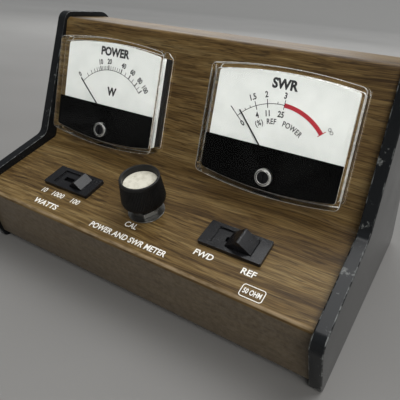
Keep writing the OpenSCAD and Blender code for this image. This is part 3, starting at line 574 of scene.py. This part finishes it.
def revolved(profile, steps, shape=as_given):
    """Closed ring of (radius, height) points turned about Z.

    shape gives the radius of point i at step k, from the profile's own radius.
    """
    bm = bmesh.new()
    rings = []
    for k in range(steps):
        angle = 2 * math.pi * k / steps
        ring = []
        for i, (radius, height) in enumerate(profile):
            r = shape(i, k, radius)
            ring.append(bm.verts.new((r * math.cos(angle), r * math.sin(angle), height)))
        rings.append(ring)
    count = len(profile)
    for k in range(steps):
        here, after = rings[k], rings[(k + 1) % steps]
        for i in range(count):
            j = (i + 1) % count
            bm.faces.new((here[i], after[i], after[j], here[j]))
    bmesh.ops.recalc_face_normals(bm, faces=bm.faces)
    return bm


def curve_points(start, end, bulge, steps):
    """Points from start to end along an arc-like curve that bulges sideways."""
    (r0, z0), (r1, z1) = start, end
    points = []
    for i in range(steps + 1):
        t = i / steps
        swell = bulge * 4 * t * (1 - t)
        points.append((r0 + (r1 - r0) * t + swell, z0 + (z1 - z0) * t))
    return points


RIBS = 84
STEPS_PER_RIB = 4
RIB_DEPTH = 0.34 * MM
KNOB_RIM = 1.0 * MM


def build_knob():
    """Finely ribbed knob with a smooth rim round its sunken disc."""
    low, high = local_box("cal_knob", DECK)
    insert_low, insert_high = local_box("cal_knob_insert", DECK)
    shaft_r = local_box("cal_shaft", DECK)[1].x
    skirt_r, disc_r = high.x, insert_high.x
    top, bottom = high.z, low.z
    crown_r = disc_r + KNOB_RIM
    rib_top, rib_bottom = top - 1.3 * MM, bottom + 2.4 * MM
    outer = [
        (disc_r, insert_low.z),
        (disc_r, top - 0.5 * MM),
        (disc_r + 0.15 * MM, top - 0.12 * MM),
        (disc_r + 0.4 * MM, top),
        (crown_r - 0.35 * MM, top),
        (crown_r - 0.08 * MM, top - 0.12 * MM),
        (crown_r, top - 0.45 * MM),
        (crown_r + 0.02 * MM, rib_top + 0.15 * MM),
    ]
    first_rib = len(outer)
    outer += curve_points((crown_r + 0.05 * MM, rib_top), (skirt_r, rib_bottom), 0, 6)
    outer += curve_points(
        (skirt_r - 0.05 * MM, rib_bottom - 0.4 * MM), (skirt_r - 1.5 * MM, bottom), 0.35 * MM, 5
    )
    last_rib = len(outer) - 2
    outer += [(shaft_r + 0.6 * MM, bottom), (shaft_r, bottom + 0.4 * MM), (shaft_r, insert_low.z)]

    def ribbed(i, k, radius):
        groove = k % STEPS_PER_RIB >= STEPS_PER_RIB // 2
        return radius - RIB_DEPTH if groove and first_rib <= i <= last_rib else radius

    bm = revolved(outer, RIBS * STEPS_PER_RIB, ribbed)
    bm.transform(DECK)
    stand_in("cal_knob", bm, 0.0)


def build_insert():
    """The knob's disc: a shallow dish inside a raised rim."""
    low, high = local_box("cal_knob_insert", DECK)
    r, top = high.x, high.z
    center, dish, wall = 0.02 * MM, 0.25 * MM, r - 0.03 * MM
    profile = [(center, top - dish)]
    profile += [(r * t, top - dish * (1 - t**4)) for t in (0.3, 0.55, 0.75, 0.88)]
    profile += [(r - 0.5 * MM, top - 0.02 * MM), (r - 0.25 * MM, top), (wall, top - 0.15 * MM)]
    profile += [(wall, low.z), (center, low.z)]
    bm = revolved(profile, 72)
    bm.transform(DECK)
    stand_in("cal_knob_insert", bm, 0.0)


THREAD_PITCH = 25.4 * MM / 24
THREAD_DEPTH = 0.5 * MM
ROWS_PER_TURN = 6


def build_socket(name):
    """The socket's shell, with a real helical thread cut along its barrel."""
    place = SOCKETS[name]
    bm = clean_copy(name)
    bm.transform(place.inverted())
    dims = named(RECORD["mounts"], name + "_thread")["dims"]
    radius, length = dims["r_mm"] * MM, dims["length_mm"] * MM
    top = max(v.co.z for v in bm.verts)
    start = top - length
    rows = int(length / THREAD_PITCH * ROWS_PER_TURN)
    for i in range(1, rows):
        everything = bm.verts[:] + bm.edges[:] + bm.faces[:]
        at = Vector((0, 0, start + length * i / rows))
        bmesh.ops.bisect_plane(bm, geom=everything, plane_co=at, plane_no=(0, 0, 1), dist=1e-7)
    for v in bm.verts:
        off_barrel = abs(math.hypot(v.co.x, v.co.y) - radius) > 0.1 * MM
        if off_barrel or v.co.z < start + 1e-6:
            continue
        turns = v.co.z / THREAD_PITCH - math.atan2(v.co.y, v.co.x) / (2 * math.pi)
        groove = abs(2 * (turns % 1) - 1)
        ends = min(1.0, (v.co.z - start) / MM, (top - v.co.z) / MM + 0.25)
        squeeze = 1 - THREAD_DEPTH * groove * ends / radius
        v.co.x *= squeeze
        v.co.y *= squeeze
    bm.transform(place)
    stand_in(name, bm, 0.0)


# ---- Printing ----

INK_T = 0.03 * MM
PRINT_GAP = 0.01 * MM


def lettering(text, weight=0.0):
    """Mesh of some text in the built-in font at size 1, one unit thick, centred on X and Z."""
    curve = bpy.data.curves.new("lettering", "FONT")
    curve.body = text
    curve.align_x = "CENTER"
    curve.offset = weight
    curve.extrude = 0.5
    curve.resolution_u = 4
    holder = bpy.data.objects.new("lettering", curve)
    mesh = bpy.data.meshes.new_from_object(holder)
    bpy.data.objects.remove(holder)
    return mesh


def letter_span(text, axis):
    """How far some text reaches along an axis at size 1."""
    mesh = lettering(text)
    places = [v.co[axis] for v in mesh.vertices]
    bpy.data.meshes.remove(mesh)
    return max(places) - min(places)


# In letter sizes: a capital's height, the gap between letters on an arc, and a space
CAPITAL = letter_span("H", 1)
LETTER_GAP = 0.26
WORD_GAP = 0.62


def spread(first, last, parts):
    """Where each of some equal parts of a stretch starts."""
    return [first + (last - first) * i / parts for i in range(parts)]


class Print:
    """Printing in one ink on one face, gathered as one mesh in the face's local frame."""

    def __init__(self):
        self.bm = bmesh.new()

    def prism(self, outline):
        """Closed slab of ink over a flat outline."""
        low = [self.bm.verts.new((x, y, 0)) for x, y in outline]
        high = [self.bm.verts.new((x, y, INK_T)) for x, y in outline]
        self.bm.faces.new(low[::-1])
        self.bm.faces.new(high)
        for i in range(len(outline)):
            j = (i + 1) % len(outline)
            self.bm.faces.new((low[i], low[j], high[j], high[i]))

    def band(self, radius, width, first, last, steps=40):
        """Arc about the origin; angles in degrees, clockwise from straight up."""
        inner, outer = [], []
        for i in range(steps + 1):
            angle = math.radians(first + (last - first) * i / steps)
            way = (math.sin(angle), math.cos(angle))
            inner.append([c * (radius - width / 2) for c in way])
            outer.append([c * (radius + width / 2) for c in way])
        for i in range(steps):
            self.prism((inner[i], inner[i + 1], outer[i + 1], outer[i]))

    def tick(self, angle, inner, outer, width):
        """Radial line between two radii."""
        a = math.radians(angle)
        way, side = Vector((math.sin(a), math.cos(a))), Vector((math.cos(a), -math.sin(a)))
        half = side * width / 2
        self.prism((way * inner - half, way * inner + half, way * outer + half, way * outer - half))

    def rounded_frame(self, middle, wide, high, corner, width):
        """Outline of a rectangle with round corners."""
        rings = []
        for grow in (width / 2, -width / 2):
            ring = []
            for quarter, (sx, sy) in enumerate(((1, 1), (-1, 1), (-1, -1), (1, -1))):
                for i in range(7):
                    a = math.radians(90 * (quarter + i / 6))
                    x = sx * (wide / 2 - corner) + (corner + grow) * math.cos(a)
                    y = sy * (high / 2 - corner) + (corner + grow) * math.sin(a)
                    ring.append((middle[0] + x, middle[1] + y))
            rings.append(ring)
        outer, inner = rings
        for i in range(len(outer)):
            j = (i + 1) % len(outer)
            self.prism((outer[i], outer[j], inner[j], inner[i]))

    def ring(self, middle, radius, width, sides=16):
        """Round ring about a point."""
        ways = [Vector((math.cos(t), math.sin(t))) for t in spread(0, 2 * math.pi, sides)]
        inner, outer = radius - width / 2, radius + width / 2
        for i in range(sides):
            first, last = ways[i], ways[(i + 1) % sides]
            corners = (first * outer, last * outer, last * inner, first * inner)
            self.prism([middle + corner for corner in corners])

    def infinity(self, radius, angle):
        """Infinity sign at an angle on an arc, as two rings side by side."""
        a = math.radians(angle)
        middle = Vector((math.sin(a), math.cos(a))) * radius
        along = Vector((math.cos(a), -math.sin(a))) * 0.62 * MM
        for side in (-1, 1):
            self.ring(middle + along * side, 0.52 * MM, 0.2 * MM)

    def words(self, text, at, height, angle=0.0, narrow=1.0, weight=0.0):
        """Lettering centred on a point and turned clockwise by an angle in degrees."""
        mesh = lettering(text, weight)
        size = height / CAPITAL
        fit = Matrix.Diagonal((size * narrow, size, INK_T, 1))
        settle = Matrix.Translation((0, -height / 2, INK_T / 2))
        turn = Matrix.Rotation(-math.radians(angle), 4, "Z")
        mesh.transform(Matrix.Translation((*at, 0)) @ turn @ settle @ fit)
        self.bm.from_mesh(mesh)
        bpy.data.meshes.remove(mesh)

    def on_arc(self, text, radius, angle, height, **look):
        """Lettering centred at an angle on an arc, standing along the radius."""
        a = math.radians(angle)
        at = (radius * math.sin(a), radius * math.cos(a))
        self.words(text, at, height, angle, **look)

    def along_arc(self, text, radius, first, last, height, **look):
        """Lettering spread letter by letter over an arc between two angles."""
        centers, reach = [], 0.0
        for letter in text:
            wide = WORD_GAP if letter == " " else letter_span(letter, 0) + LETTER_GAP
            centers.append(reach + wide / 2)
            reach += wide
        for letter, center in zip(text, centers):
            if letter != " ":
                self.on_arc(letter, radius, first + (last - first) * center / reach, height, **look)

    def lay(self, name, place, level, material):
        """Makes the piece, at a level above the face."""
        bmesh.ops.remove_doubles(self.bm, verts=self.bm.verts, dist=1e-7)
        self.bm.transform(place @ Matrix.Translation((0, 0, level)))
        add_piece(name, mesh_from(self.bm, name), "case", material)


NUMBER_H = 2.05 * MM
HEADING_H = 3.3 * MM
LEGEND_H = 2.4 * MM
SMALL_H = 1.9 * MM
NUMBER_LOOK = {"narrow": 0.8, "weight": 0.032}
HEADING_LOOK = {"narrow": 0.92, "weight": 0.045}
THIN_LINE = 0.25 * MM
BOLD_LINE = 0.5 * MM
SWEEP = 48  # degrees each side of straight up


def dial_level(meter):
    """The height at which a dial's printing lies, in the meter's local frame."""
    return local_box(meter + "_meter_dial", DIAL[meter])[1].z + PRINT_GAP


def print_power_dial():
    """Power scale in watts: a thin arc, ticks outside it and numbers round the ticks."""
    arc_r, number_r = 21.3 * MM, 25.0 * MM
    majors = {0: -SWEEP, 10: -16.7, 20: -5.1, 40: 13.6, 60: 26.3, 80: 38.1, 100: SWEEP}
    minors = [-38, -31.5, -26.5, -22.5, -19.5]
    minors += spread(majors[10], majors[20], 5)[1:] + spread(majors[20], majors[40], 6)[1:]
    minors += [20, 32.2, 43]
    p = Print()
    p.band(arc_r, THIN_LINE, -SWEEP, SWEEP)
    for value, angle in majors.items():
        p.tick(angle, arc_r, arc_r + 2.0 * MM, BOLD_LINE if value else THIN_LINE)
        p.on_arc(str(value), number_r, angle + 0.8, NUMBER_H, **NUMBER_LOOK)
    for angle in minors:
        p.tick(angle, arc_r, arc_r + 1.7 * MM, THIN_LINE)
    p.words("POWER", (0.4 * MM, 29.1 * MM), HEADING_H, **HEADING_LOOK)
    p.words("W", (1.2 * MM, 12.2 * MM), HEADING_H, **HEADING_LOOK)
    p.lay("power_dial_print", DIAL["power"], dial_level("power"), "black_ink")


def print_swr_dial():
    """Ratio scale above an arc, reflected power in per cent below it, red from 3 upwards."""
    arc_r, red_from = 21.7 * MM, 3.0
    ratio_r, percent_r, caption_r = 25.1 * MM, 18.3 * MM, 15.4 * MM
    p = Print()
    p.band(arc_r, THIN_LINE, -SWEEP, red_from)
    p.tick(-SWEEP, arc_r - 2.2 * MM, arc_r + 2.2 * MM, 0.3 * MM)
    for angle in (-42.5, -37.5, -32):
        p.tick(angle, arc_r, arc_r + 0.8 * MM, THIN_LINE)
    for angle in (-26, -14):
        p.tick(angle, arc_r - 1.5 * MM, arc_r + 1.7 * MM, 0.3 * MM)
    p.tick(-3.7, arc_r, arc_r + 0.8 * MM, THIN_LINE)
    p.tick(red_from, arc_r - 1.6 * MM, arc_r + 1.9 * MM, 0.24 * MM)
    for text, angle in (("1", -SWEEP), ("1.5", -27), ("2", -14.4), ("3", 2.2)):
        p.on_arc(text, ratio_r, angle, NUMBER_H, **NUMBER_LOOK)
    for text, angle in (("0", -SWEEP), ("4", -27.2), ("11", -14.2), ("25", 1.6)):
        p.on_arc(text, percent_r, angle, NUMBER_H, **NUMBER_LOOK)
    p.infinity(25.0 * MM, SWEEP + 1.6)
    p.along_arc("(%) REF  POWER", caption_r, -34, 37, SMALL_H, narrow=0.8, weight=0.02)
    p.words("SWR", (-0.2 * MM, 28.9 * MM), HEADING_H, **HEADING_LOOK)
    p.lay("swr_dial_print", DIAL["swr"], dial_level("swr"), "black_ink")
    red = Print()
    red.band(arc_r, 1.55 * MM, red_from, SWEEP)
    red.tick(SWEEP, arc_r - 1.5 * MM, arc_r + 1.8 * MM, 0.3 * MM)
    red.lay("swr_dial_red_zone", DIAL["swr"], dial_level("swr"), "red_ink")


def print_deck():
    """Generic legends under the switches and the knob, and a framed badge."""
    p = Print()
    # text, place to the right of the knob and above it in mm, narrowing, weight
    legends = (
        ("10", -47.9, -8.8, 0.85, 0.008),
        ("1000", -40.0, -8.8, 0.98, 0.008),
        ("100", -30.2, -8.8, 0.92, 0.008),
        ("CAL", -0.4, -9.2, 0.85, 0.01),
        ("FWD", 31.6, -9.2, 0.98, 0.022),
        ("REF", 48.8, -9.2, 0.98, 0.022),
        ("WATTS", -40.5, -15.0, 1.08, 0.022),
        ("POWER AND SWR METER", 2.1, -15.3, 0.86, 0.02),
    )
    for text, x, y, narrow, weight in legends:
        p.words(text, (x * MM, y * MM), LEGEND_H, narrow=narrow, weight=weight)
    badge = (53.4 * MM, -15.8 * MM)
    p.rounded_frame(badge, wide=7.8 * MM, high=4.7 * MM, corner=0.9 * MM, width=0.28 * MM)
    p.words("50 OHM", badge, SMALL_H, narrow=0.64, weight=0.02)
    p.lay("deck_legends", DECK, PRINT_GAP, "white_ink")


def print_rear():
    """Generic legends over the two coaxial sockets."""
    above_socket = (0, 17 * MM)
    for name, text in (("transmitter_socket", "TRANSMITTER"), ("antenna_socket", "ANTENNA")):
        p = Print()
        p.words(text, above_socket, LEGEND_H)
        p.lay(name + "_legend", SOCKETS[name], PRINT_GAP, "white_ink")


# ---- Stage ----


def stage_material():
    """Matt paper, a little darker near the object than towards the backdrop, as painted shade round the object."""
    f = Finish("pale_floor", (0.3, 0.3, 0.29), 0.8, specular_ior_level=0.2)
    reach = f.node("ShaderNodeVectorMath", {0: f.place}, operation="LENGTH").outputs["Value"]
    blotches = f.add(f.noise((3, 3, 3), 3.0), 0.3, "MULTIPLY")
    # Darker near the object: painted shade, broken up by random blotches.
    share = f.add(f.span(reach, 0.3, 2.6), blotches)
    f.put("Base Color", f.ramp(share, (0.12, (0.175, 0.172, 0.166)), (1.0, (0.50, 0.497, 0.485))))
    return f.material


def build_floor():
    """Pale round floor that sweeps up into a low plain backdrop all the way round."""
    edge, turn_r, height, steps = 3.2, 0.8, 1.6, 96
    profile = [(0.0, 0.0), (edge - turn_r, 0.0)]
    for i in range(1, 13):
        a = math.radians(90 * i / 12)
        profile.append((edge - turn_r + turn_r * math.sin(a), turn_r * (1 - math.cos(a))))
    profile.append((edge, height))
    bm = bmesh.new()
    for r, z in profile:
        bm.verts.new((r, 0, z))
    verts = list(bm.verts)
    edges = [bm.edges.new(pair) for pair in zip(verts, verts[1:])]
    bmesh.ops.spin(bm, geom=verts + edges, axis=(0, 0, 1), angle=2 * math.pi, steps=steps)
    bmesh.ops.remove_doubles(bm, verts=bm.verts, dist=1e-5)
    bmesh.ops.recalc_face_normals(bm, faces=bm.faces)
    mesh = mesh_from(bm, "floor")
    smooth(mesh, 40)
    mesh.materials.append(stage_material())
    floor = bpy.data.objects.new("floor", mesh)
    bpy.context.scene.collection.objects.link(floor)


def add_softbox(name, place, size, power, color=(1, 1, 1)):
    """Square area light at a place, aimed at the object's middle."""
    light = bpy.data.lights.new(name, "AREA")
    light.size = size
    light.energy = power
    light.color = color
    lamp = bpy.data.objects.new(name, light)
    bpy.context.scene.collection.objects.link(lamp)
    low, high = CAD_BOX
    aim = (low + high) / 2 - Vector(place)
    lamp.location = place
    lamp.visible_camera = False
    lamp.rotation_mode = "QUATERNION"
    lamp.rotation_quaternion = aim.to_track_quat("-Z", "Y")


def light_scene():
    world = bpy.data.worlds.new("studio")
    bpy.context.scene.world = world
    world.use_nodes = True
    backdrop = world.node_tree.nodes["Background"]
    backdrop.inputs["Color"].default_value = (0.93, 0.96, 1.0, 1.0)
    backdrop.inputs["Strength"].default_value = 0.24
    add_softbox("overhead", (0.5, 0.6, 2.2), 2.2, 50.0)
    add_softbox("front", (0.55, -0.75, 0.75), 0.6, 7.5, (1.0, 0.98, 0.95))
    add_softbox("rear_fill", (-0.5, 0.9, 0.7), 0.8, 4.0)


def place_camera():
    """Seen from above the front right-hand corner, leaning a little to the left."""
    data = bpy.data.cameras.new("camera")
    camera = bpy.data.objects.new("camera", data)
    bpy.context.scene.collection.objects.link(camera)
    camera.location = (0.0952, -0.1707, 0.1161)
    camera.rotation_euler = [math.radians(a) for a in (68.92, -4.85, 31.38)]
    data.sensor_width = 36.0
    data.lens = 40.76
    data.shift_x = -0.0085
    data.shift_y = -0.0862
    data.clip_start = 0.01
    data.clip_end = 20.0
    bpy.context.scene.camera = camera


place_camera()
refine_nodes()
build_knob()
build_insert()
for socket in SOCKETS:
    build_socket(socket)
print_power_dial()
print_swr_dial()
print_deck()
print_rear()
finish_plain_nodes()
build_floor()
light_scene()
bpy.context.scene.view_settings.view_transform = "Standard"
